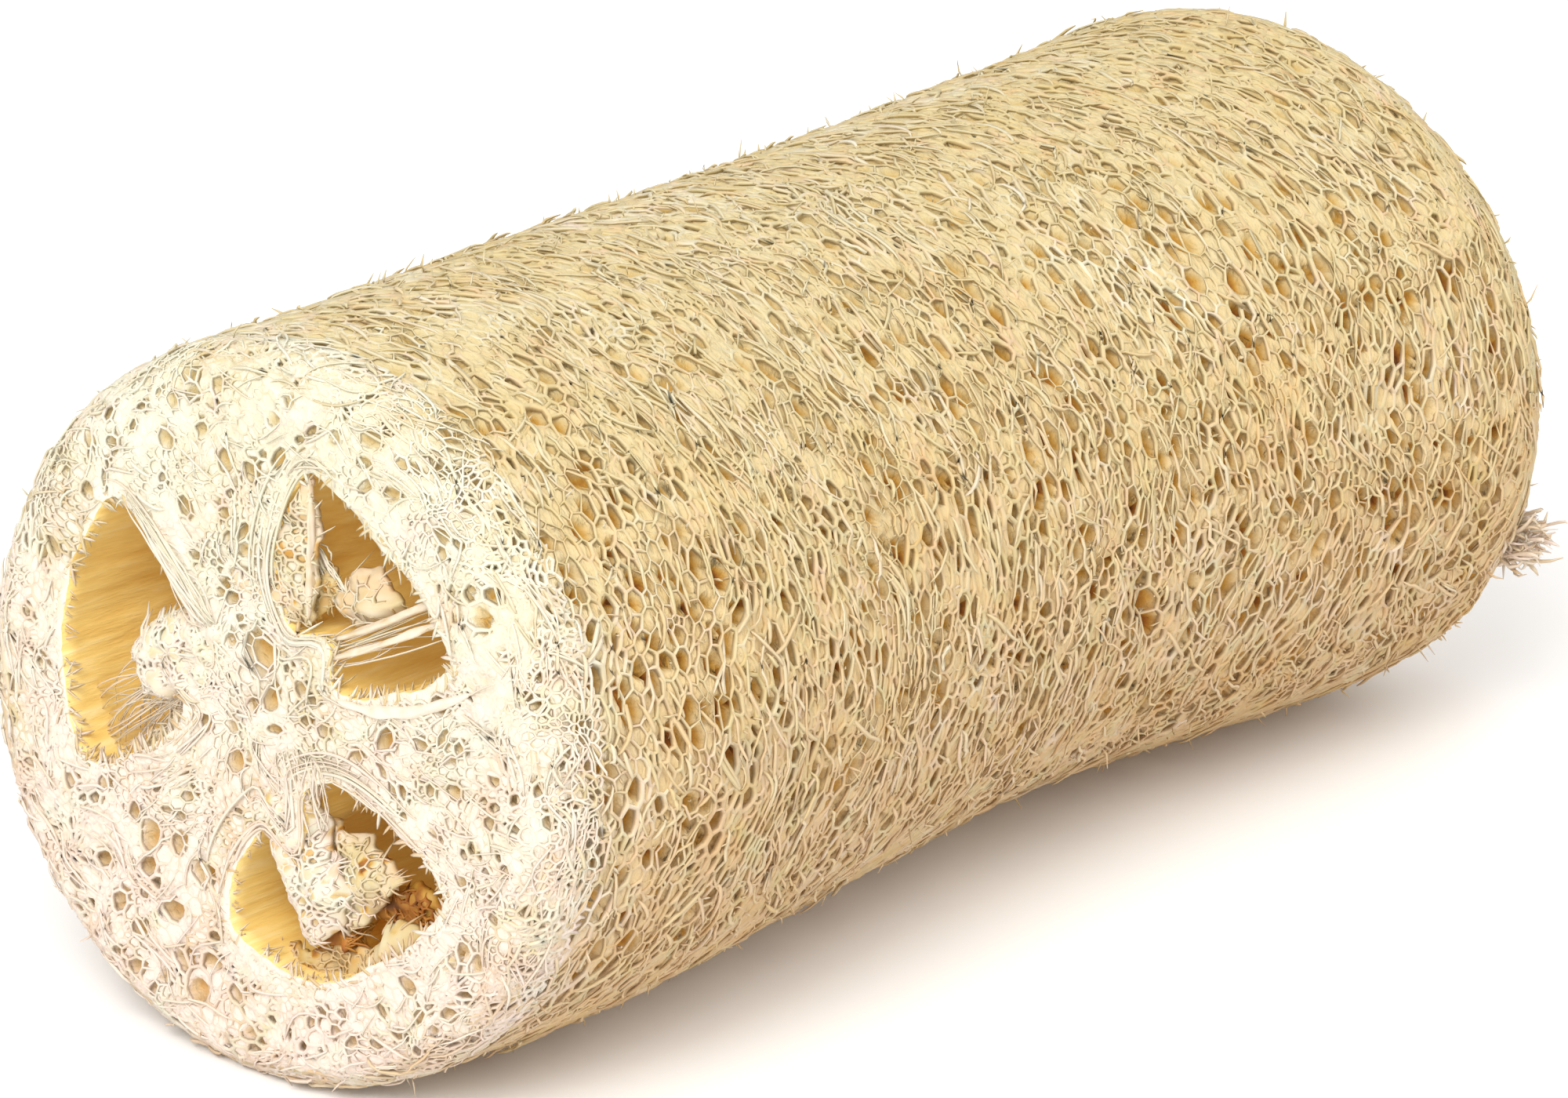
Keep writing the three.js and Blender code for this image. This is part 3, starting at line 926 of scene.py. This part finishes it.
def net_piece(name, knots, links, half_width, sink, rise, tone, to_skin, seed, period=None):
    """One net as a piece: its ridges at the sink, its edges lower by the rise. tone is a number, or gives one
    for each point."""
    draw = np.random.default_rng(seed)
    on_skin = to_skin(knots, 0)
    count = len(knots)
    widths = half_width * (1 + 0.25 * drift(on_skin, 6, seed) + draw.uniform(-0.3, 0.3, count))
    flip = from_behind(to_skin, knots[count // 2])
    owner, flat, triangles = net_solid(knots, links, widths, period, flip)
    ridge = np.arange(len(flat)) < count
    depth = sink + 0.05 * drift(on_skin, 3, seed + 1) + draw.uniform(-0.1, 0.1, count)
    depth = depth[owner] + np.where(ridge, 0, rise * widths[owner] / half_width)
    points = to_skin(flat, depth)
    tone = tone(points) if callable(tone) else tone
    tone = tone + 0.05 * drift(points, 9, seed + 2) + 0.05 * drift(points, 2, seed + 3)
    # The lower edges are a little darker than the ridges: painted shade under the ridge.
    tone = tone - np.where(ridge, 0, 0.05) + draw.uniform(-0.05, 0.05, len(flat))
    tint = tint_at(points) + 0.3 * drift(points, 2.5, seed + 4) + draw.uniform(-0.2, 0.2, len(flat))
    fibre_piece(name, *used_only(points, triangles, tone, tint))


def side_tone(points):
    """Whiter near the cut face, and a little browner low down and towards the rear."""
    front = smooth_step(-points[:, 0], HALF - 16, HALF)
    low = smooth_step(-points[:, 2], -30, 0)
    rear = smooth_step(points[:, 0], 0, HALF)
    return 0.7 + 0.03 * topside(points) + 0.2 * front - 0.07 * low - 0.05 * rear


def side_nets():
    knots, links = cell_net(SIDE_PORES.seeds, 4, SIDE_PERIOD)
    knots = side_flow(knots * [SIDE_ASPECT, 1] + [0, SIDE_FIRST])
    third = (SIDE_LAST - SIDE_FIRST) / 3
    band = np.clip((knots[links[:, 0], 1] - SIDE_FIRST) // third, 0, 2)
    for number in range(3):
        part = links[band == number]
        net_piece(f"side_net_{number + 1}", knots, part, 0.25, 0.1, 0.36, side_tone, side_skin, 51, ROUND)


def cap_net(name, to_skin, x, pores, cap, half_width, tone, seed):
    """A net over one end of the body, open where the chambers are."""
    knots, links = cell_net(pores.seeds - cap, 5)
    knots = cap_flow(knots)
    s, angle = polar(knots)
    _, r, _, _ = outline(s if x < 0 else OUTLINE_LENGTH - s)
    keep = (s < cap) & beside_chambers(from_polar(r, angle), x)
    net_piece(name, knots, links[keep[links].all(axis=1)], half_width, 0.08, 0.3, tone, to_skin, seed)


side_nets()
cap_net("front_net", front_skin, -HALF, FRONT_PORES, FRONT_CAP, 0.24, 0.96, 71)
cap_net("rear_net", rear_skin, HALF, REAR_PORES, REAR_CAP, 0.22, 0.7, 91)


# Loose fibres

def strands(name, lines, radius, tone, seed):
    """Three-sided tubes along the lines, an array of strand, step and place. radius holds one value for
    each strand, and so may tone."""
    draw = np.random.default_rng(seed)
    count, steps, _ = lines.shape
    ahead = unit(np.gradient(lines, axis=1))
    side = unit(np.cross(ahead, [0.31, 0.52, 0.79]))
    other = np.cross(ahead, side)
    share = np.abs(np.linspace(-1, 1, steps))
    thickness = radius[:, None, None] * (1 - 0.75 * share ** 3)[None, :, None]
    rings = [
        lines + thickness * (side * math.cos(turn) + other * math.sin(turn))
        for turn in (0, TURN / 3, TURN * 2 / 3)
    ]
    points = np.stack(rings, axis=2).reshape(-1, 3)
    points[:, 2] = np.maximum(points[:, 2], REST_GAP - 0.01)
    strand, step, corner = grid(np.arange(count), np.arange(steps - 1), np.arange(3))
    a = (strand * steps + step) * 3 + corner
    b = (strand * steps + step) * 3 + (corner + 1) % 3
    first = np.arange(count) * steps * 3
    last = first + (steps - 1) * 3
    triangles = faces(
        (a, b, b + 3),
        (a, b + 3, a + 3),
        (first + 2, first + 1, first),
        (last, last + 1, last + 2),
    )
    tone = np.repeat(tone + draw.normal(0, 0.05, count), steps * 3)
    tone = tone + draw.uniform(-0.03, 0.03, len(points))
    tint = tint_at(points) + np.repeat(draw.uniform(-0.3, 0.3, count), steps * 3)
    fibre_piece(name, points, triangles, tone, tint)


def grown(steps, at):
    """Lines from their places at each share of the way."""
    return np.stack([at(along) for along in np.linspace(0, 1, steps)], axis=1)


def wandering(start, heading, bend, reach, steps):
    """Places of lines on a flat map, from their middles, headings, bends and lengths."""
    turn = heading[:, None] + bend[:, None] * np.linspace(-0.5, 0.5, steps)
    step = np.stack([np.cos(turn), np.sin(turn)], axis=2) * (reach / (steps - 1))[:, None, None]
    walk = np.cumsum(step, axis=1)
    return (start[:, None, :] + walk - walk[:, steps // 2][:, None, :]).reshape(-1, 2)


def strand_depth(draw, count, steps, loose):
    """Depths along strands: most dive at both ends, and the loose ones lift one end off the skin."""
    along = np.linspace(-1, 1, steps)[None, :]
    depth = draw.uniform(-0.12, 0.25, count)[:, None] + 0.5 * along ** 4
    lifted = (draw.random(count) < loose)[:, None]
    lift = draw.uniform(0.3, 0.75, count)[:, None] * np.clip(along + 0.2, 0, 2) ** 2
    return np.where(lifted, depth - lift, depth).ravel()


def side_strands(name, first, last, seed):
    """Fibres that run round the body between the large pores."""
    draw = np.random.default_rng(seed)
    count = 2300
    steps = 7
    start = pairs(draw.uniform(0, ROUND, count), draw.uniform(first, last, count))
    heading = draw.normal(0, 0.38, count)
    bend = draw.normal(0, 0.8, count)
    flat = wandering(start, heading, bend, 4.8 * draw.uniform(0.5, 1.5, count), steps)
    flat += SIDE_PORES.clearing(to_side_map(flat)) * [SIDE_ASPECT, 1]
    points = side_skin(side_flow(flat), strand_depth(draw, count, steps, 0.16))
    lines = points.reshape(count, steps, 3)
    tone = side_tone(lines[:, steps // 2]) + 0.01
    strands(name, lines, 0.21 * draw.uniform(0.6, 1.3, count), tone, seed + 1)


def front_strands():
    """White fibres on the cut face, which run round the chambers or out towards the rim."""
    draw = np.random.default_rng(141)
    count = 900
    steps = 8
    r = np.sqrt(draw.random(count)) * FRONT_CAP
    start = from_polar(r, draw.uniform(0, TURN, count))
    r, out = polar(start)
    turned = np.where(r > 27 + 3 * drift(start, 12, 142), math.pi / 2, 0)
    heading = out + turned + draw.normal(0, 0.4, count)
    bend = draw.normal(0, 0.8, count)
    flat = wandering(start, heading, bend, draw.uniform(2.5, 7, count), steps)
    flat += FRONT_PORES.clearing(flat + FRONT_CAP)
    flat = cap_flow(flat)
    clear = beside_chambers(flat, -HALF).reshape(count, steps).all(axis=1)
    points = front_skin(flat, strand_depth(draw, count, steps, 0.1))
    lines = points.reshape(count, steps, 3)[clear]
    strands("front_strands", lines, draw.uniform(0.09, 0.19, len(lines)), 0.97, 143)


def rim_strands():
    """Smooth white bundles on the sides of the chambers' mouths that face the core."""
    draw = np.random.default_rng(151)
    steps = 26
    lines = []
    for chamber in CHAMBERS.values():
        first, last = chamber["bundles"]
        for _ in range(18):
            u = draw.uniform(first, last - 0.12) + np.linspace(0, draw.uniform(0.1, 0.22), steps)
            inset = -abs(draw.normal(0, 1.5)) + 0.1 + 0.25 * np.sin(u * 17 + draw.uniform(0, 6))
            depth = draw.uniform(-0.1, 0.3) + 1.4 * np.linspace(-1, 1, steps) ** 6
            lines.append(place(depth - HALF, *chamber_wall(chamber, np.full(steps, -HALF), u, inset)))
    strands("rim_strands", np.array(lines), draw.uniform(0.1, 0.22, len(lines)), 0.96, 152)


def edge_fringe():
    """Short torn ends round the mouths of the chambers."""
    draw = np.random.default_rng(181)
    count = 250
    lines = []
    for chamber in CHAMBERS.values():
        u = draw.random(count)
        turn = draw.normal(0, 0.018, count)
        reach = draw.uniform(0.4, 2.2, count)
        depth = draw.uniform(0, 1.6, count)

        def at(along):
            x = 0.2 - HALF + depth * along
            return place(x, *chamber_wall(chamber, x, u + turn * along, -0.5 + reach * along ** 1.3))

        lines.append(grown(5, at))
    lines = np.concatenate(lines)
    radius = draw.uniform(0.1, 0.24, len(lines))
    strands("edge_fringe", lines, radius, draw.uniform(0.6, 1.0, len(lines)), 182)


def surface_hairs():
    """Short loose ends that stand off the skin, with none in the open chambers at the rear."""
    draw = np.random.default_rng(161)
    count = 4000
    s = draw.uniform(FRONT_FACE_EDGE - 2, OUTLINE_LENGTH - 4, count)
    angle = draw.uniform(0, TURN, count)
    _, r, _, _ = outline(s)
    clear = (s <= REAR_RIM_EDGE - 10) | beside_chambers(from_polar(r, angle), HALF)
    foot = skin(s[clear], angle[clear], 0.3)
    out = skin(s[clear], angle[clear], -0.7) - foot
    count = len(foot)
    aim = out * draw.uniform(0.1, 0.9, count)[:, None] + draw.normal(0, 0.7, (count, 3))
    curl = draw.normal(0, 0.8, (count, 3)) - 0.3 * out
    reach = 0.6 * draw.uniform(0.5, 1.5, count)[:, None]
    lines = grown(3, lambda along: foot + reach * (aim * along + curl * along ** 2))
    strands("surface_hairs", lines, draw.uniform(0.09, 0.17, count), side_tone(foot) + 0.02, 162)


# The tuft's root and end as spots of the photo, and how far before the rear end it stands
TUFT_SPOTS = [(1915, 690), (1966, 690)]
TUFT_BACK = 9


def rear_tuft():
    """The pale ragged tuft that sticks out low at the rear, where the photo shows it."""
    draw = np.random.default_rng(171)
    count = 170
    depth = LENGTH - TUFT_BACK
    root, end = in_body(section_behind(TUFT_SPOTS, depth), depth)
    foot = root + draw.normal(0, 1.1, (count, 3))
    aim = (end - root) * draw.uniform(0.2, 0.95, count)[:, None] + draw.normal(0, 1.0, (count, 3))
    curl = 2.5 * draw.normal(0, 1.8, (count, 3))
    lines = grown(7, lambda along: foot + aim * along + curl * (along ** 2 - along ** 3))
    radius = draw.uniform(0.16, 0.32, count)
    strands("rear_tuft", lines, radius, draw.uniform(0.75, 1.0, count), 172)


side_strands("side_strands_1", SIDE_FIRST, SIDE_FIRST + 75, 111)
side_strands("side_strands_2", SIDE_FIRST + 70, SIDE_LAST + 4, 121)
front_strands()
rim_strands()
edge_fringe()
surface_hairs()
rear_tuft()


# What shows in the mouths of the chambers. Spots are pixels of the photo, depths and widths millimetres.

def doubled(triangles, count):
    """Two layers of the same triangles, back to back, with a wall between their rims. The second layer has
    its points after the first's count."""
    sides = np.concatenate([triangles[:, [0, 1]], triangles[:, [1, 2]], triangles[:, [2, 0]]])
    rim = sides[~np.isin(sides[:, 0] * count + sides[:, 1], sides[:, 1] * count + sides[:, 0])]
    a, b = rim.T
    walls = faces((b, a, a + count), (b, a + count, b + count))
    return np.concatenate([triangles, triangles[:, ::-1] + count, walls])


def sheet(name, spots, depth, bulge, tone, seed, spotted, spacing, fringe):
    """A ragged sheet of matted fibre inside an outline of spots, with a net over it and a fringe round it.
    Its middle stands out towards the front by the bulge."""
    draw = np.random.default_rng(seed)
    edge = closed_curve(section_behind(spots, depth), np.arange(160) / 160)
    middle = edge.mean(axis=0)
    edge += 0.16 * pairs(drift(edge, 1.1, seed), drift(edge, 1.1, seed + 1))
    reach = 0.35 * np.hypot(*(edge - middle).T).mean() + 0.6

    def surface(flat, sink):
        gap = gap_to(edge, flat)
        gap = np.where(inside(edge, flat), gap, -gap)
        dome = 1 - np.clip(1 - gap / reach, 0, 1.6) ** 2
        return in_body(flat, depth - bulge * dome + 0.3 * drift(flat, 2.2, seed + 2) + sink)

    low = edge.min(axis=0)
    width, height = edge.max(axis=0) - low
    fill = lattice(width, height, 0.34, 0.2, 0, draw) + low
    fill = fill[inside(edge, fill) & (gap_to(edge, fill) > 0.2)]
    flat, triangles = triangulated(np.concatenate([edge, fill]))
    triangles = doubled(triangles[inside(edge, flat[triangles].mean(axis=1))], len(flat))
    if from_behind(surface, middle):
        triangles = triangles[:, ::-1]
    lumps = drift(flat, 0.9, seed + 3)
    points = np.concatenate([surface(flat, sink + 0.14 * lumps) for sink in (0.25, 0.8)])
    sheet_tone = tone - 0.05 + 0.06 * lumps + 0.05 * drift(flat, 2.5, seed + 5)
    sheet_tone -= spotted * smooth_step(drift(flat, 1.3, seed + 4), 0.8, 1.4)
    tint = 0.35 + 0.3 * drift(flat, 3, seed + 6)
    fibre_piece(name, *used_only(points, triangles, np.tile(sheet_tone, 2), np.tile(tint, 2)))
    if spacing:
        seeds = lattice(width + 3, height + 3, spacing, 0.36, 0.12, draw) + low - 1.5
        knots, links = cell_net(seeds, 3)
        keep = inside(edge, knots + 0.3 * draw.normal(size=knots.shape))
        net_piece(name + "_net", knots, links[keep[links].all(axis=1)], 0.18, 0, 0.24, tone, surface, seed)
    root = edge[draw.integers(0, len(edge), fringe)]
    out = unit(root - middle)
    aim = out * draw.uniform(0.4, 1.0, fringe)[:, None] + draw.normal(0, 0.4, (fringe, 2))
    curl = draw.normal(0, 0.8, (fringe, 2))
    lines = grown(5, lambda along: surface(root - 0.5 * out + aim * along + curl * along ** 2, 0.15))
    strands(name + "_fringe", lines, draw.uniform(0.08, 0.18, fringe), tone, seed + 7)


def strip(name, spots, widths, depth, thickness, tone, seed):
    """A smooth band of fibre along a curve through three spots."""
    stations = np.linspace(0, 1, 3)
    curves = np.polyfit(stations, section_behind(spots, depth), 2)

    def line_at(t):
        return pairs(np.polyval(curves[:, 0], t), np.polyval(curves[:, 1], t))

    length = np.hypot(*np.diff(line_at(np.linspace(0, 1, 30)), axis=0).T).sum()
    around = 18
    rings = max(14, int(length / 0.25))
    t, turn = grid(np.linspace(0.002, 0.998, rings), np.arange(around) / around * TURN)
    middle = line_at(t)
    across = left_of(unit(line_at(t + 0.01) - middle))
    closing = np.sqrt(1 - np.abs(2 * t - 1) ** 5)
    on_band = np.column_stack([np.cos(turn), np.sin(turn), length * t / 2])
    uneven = closing * (1 + 0.2 * drift(on_band, 1.2, seed))
    section = middle + across * (np.interp(t, stations, widths) * uneven * np.cos(turn))[:, None]
    points = with_poles(in_body(section, depth + thickness * uneven * np.sin(turn)), around)
    tone = tone + 0.05 * drift(points, 0.8, seed + 1)
    fibre_piece(name, points, tube_triangles(rings, around)[:, ::-1], tone, np.full(len(points), 0.6))


def spread_strands(name, roots, tips, root_depth, tip_depth, count, radius, tone, seed, bow=0.6):
    """Fibres from one line of spots to another."""
    draw = np.random.default_rng(seed)

    def section_along(spots, share, depth):
        stations = np.linspace(0, 1, len(spots))
        return section_behind(pairs(*(np.interp(share, stations, way) for way in zip(*spots))), depth)

    share = draw.random(count)
    root = section_along(roots, share, root_depth)
    tip = section_along(tips, share + draw.normal(0, 0.15, count), tip_depth)
    way = (tip - root) * draw.uniform(0.4, 1.15, count)[:, None]
    bows = draw.normal(0, bow, (count, 2))

    def at(along):
        depth = root_depth + (tip_depth - root_depth) * along + draw.normal(0, 0.08, count)
        return in_body(root + way * along + bows * math.sin(math.pi * along), depth)

    lines = grown(9, at)
    radius = radius * draw.uniform(0.5, 1.5, count)
    strands(name, lines, radius, tone + draw.uniform(-0.08, 0.04, count), seed + 1)


# A sheet's numbers are its depth, bulge, tone and seed, how spotted it is, the spacing of its net and the
# count of its fringe. A strip's are half its width at each spot, its depth, half its thickness, its tone and
# seed. Those of spread fibres are both depths, their count, radius, tone and seed, and at times their bow.

# Left chamber: the core's ragged lobe, and fibres that fan out over the lower wall
sheet("core_lobe", [
    (272, 776), (228, 780), (196, 790), (176, 815), (181, 850), (190, 880),
    (216, 888), (250, 893), (285, 880), (300, 845), (295, 800),
], 1.1, 1.4, 1.0, 201, 0.1, 0.8, 110)
sheet("low_mat", [
    (285, 918), (250, 893), (222, 900), (208, 925), (180, 950), (163, 985), (215, 970), (262, 945),
], 2.4, 0.6, 0.86, 211, 0.5, 0.8, 60)
spread_strands(
    "wall_fan", [(190, 850), (228, 885), (255, 925)], [(118, 880), (128, 950), (170, 1000)],
    1.6, 4.4, 80, 0.09, 0.92, 231, 1.5,
)
spread_strands(
    "septum_left", [(258, 800), (276, 795)], [(162, 648), (180, 642)],
    -0.1, 0.0, 20, 0.13, 0.97, 401,
)

# Upper chamber: a pale sheet over its left side, a lobe, and strips that cross it
sheet("upper_sheet", [
    (391, 612), (398, 700), (393, 788), (362, 792), (330, 770),
    (302, 745), (298, 722), (335, 705), (362, 668),
], 0.5, 0.4, 0.84, 241, 0.45, 0.85, 30)
strip("sheet_edge", [(394, 610), (397, 700), (393, 790)], [0.28, 0.3, 0.35], 0.6, 0.5, 0.86, 251)
sheet("pore_patch", [
    (397, 730), (412, 722), (428, 738), (428, 762), (412, 785), (398, 790),
], 2.6, 0.3, 0.5, 255, 0.3, 0.8, 20)
spread_strands(
    "slanting_fibres", [(398, 680), (404, 705)], [(445, 745), (436, 768)],
    2.4, 2.6, 16, 0.14, 0.9, 261,
)
sheet("pale_lobe", [
    (428, 775), (436, 745), (455, 727), (478, 728), (494, 748),
    (512, 768), (502, 788), (470, 797), (440, 797),
], 2.6, 1.0, 0.84, 271, 0.25, 1.1, 12)
strip("upper_strip", [(402, 822), (470, 802), (560, 766)], [0.4, 0.35, 0.5], 1.5, 0.5, 0.86, 281)
strip("lower_strip", [(405, 846), (480, 824), (574, 792)], [0.4, 0.3, 0.45], 1.0, 0.4, 0.88, 291)
spread_strands(
    "strip_fibres", [(415, 825), (420, 855)], [(565, 765), (575, 812)],
    1.0, 2.0, 14, 0.1, 0.92, 301,
)
strip("septum_strip", [(430, 893), (510, 908), (600, 885)], [0.4, 0.6, 0.5], 0.2, 0.5, 0.97, 421)

# Lower chamber: the hanging sheet with its brown spots, a tan sheet behind it and lumps on the floor
sheet("hanging_lobe", [
    (338, 990), (395, 985), (408, 1040), (420, 1085), (434, 1110), (441, 1150),
    (428, 1187), (405, 1202), (389, 1190), (376, 1160), (362, 1120), (348, 1065),
], 1.5, 1.5, 1.02, 311, 0.45, 0.85, 60)
sheet("tan_shelf", [
    (398, 1045), (432, 1055), (458, 1070), (486, 1096), (512, 1122), (500, 1138),
    (482, 1155), (458, 1182), (428, 1190), (432, 1150), (420, 1100),
], 3.0, 0.9, 0.8, 321, 0.6, 0.85, 24)
sheet("stained_mat", [
    (500, 1136), (530, 1128), (556, 1150), (566, 1185), (552, 1206), (530, 1196),
    (505, 1182), (478, 1176), (462, 1196), (445, 1205), (444, 1188), (470, 1160),
], 4.4, 0.5, 0.24, 361, 0.1, 0.9, 24)
sheet("stained_edge", [
    (404, 1192), (428, 1188), (448, 1196), (442, 1214), (412, 1212),
], 2.6, 0.4, 0.22, 371, 0.0, None, 10)
sheet("floor_mat", [
    (345, 1205), (385, 1210), (430, 1206), (480, 1218), (520, 1232), (495, 1262),
    (430, 1275), (370, 1280), (350, 1245),
], 3.0, 0.5, 0.6, 351, 0.3, 0.8, 50)
sheet("floor_lump_1", [
    (483, 1195), (500, 1176), (522, 1182), (536, 1205), (532, 1238), (505, 1252), (482, 1235),
], 2.4, 1.5, 0.7, 331, 0.3, None, 10)
sheet("floor_lump_2", [
    (536, 1216), (558, 1204), (584, 1212), (586, 1240), (556, 1254), (536, 1246),
], 0.9, 0.9, 0.92, 341, 0.1, 0.8, 30)
spread_strands(
    "lobe_roots", [(345, 960), (375, 955), (410, 975)], [(358, 1050), (390, 1065), (420, 1060)],
    -0.1, 0.6, 26, 0.13, 0.96, 381,
)


# Studio

LAMP_TINT = (1, 0.99, 0.97)
LAMP_AIM = Vector((0, 0, 0.035))


def add_lamp(name, spot, size, power):
    light = bpy.data.lights.new(name, "AREA")
    light.energy = power
    light.size = size
    light.color = LAMP_TINT
    lamp = bpy.data.objects.new(name, light)
    lamp.location = spot
    lamp.rotation_euler = (LAMP_AIM - Vector(spot)).to_track_quat("-Z", "Y").to_euler()
    bpy.context.collection.objects.link(lamp)


lens = bpy.data.cameras.new("camera")
lens.sensor_width = SENSOR
lens.lens = SENSOR * CAMERA_FOCAL_PIXELS / PICTURE_WIDTH
lens.clip_start = 0.01
lens.clip_end = 20
camera = bpy.data.objects.new("camera", lens)
camera.location = Vector(CAMERA_PLACE) * MILLIMETRE
camera.rotation_euler = Vector(CAMERA_BACK).to_track_quat("Z", "Y").to_euler()
bpy.context.collection.objects.link(camera)
bpy.context.scene.camera = camera

bpy.ops.object.select_all(action="DESELECT")
bpy.ops.mesh.primitive_plane_add(size=6)
floor = bpy.context.active_object
floor.name = "floor"
paper = Shader("pale_floor", 0.9)
tone = paper.mix(paper.noise(paper.coordinates(), 3.0), colour(250, 250, 250), colour(253, 253, 253))
floor.data.materials.append(paper.finish(tone))

add_lamp("key", (-0.75, -0.35, 0.8), size=0.6, power=9)
add_lamp("fill", (0.3, -1.1, 0.9), size=0.9, power=4)
world = bpy.data.worlds.new("studio")
world.use_nodes = True
background = world.node_tree.nodes["Background"]
background.inputs["Color"].default_value = (1, 1, 1, 1)
background.inputs["Strength"].default_value = 0.88
bpy.context.scene.world = world
bpy.context.scene.view_settings.view_transform = "Standard"
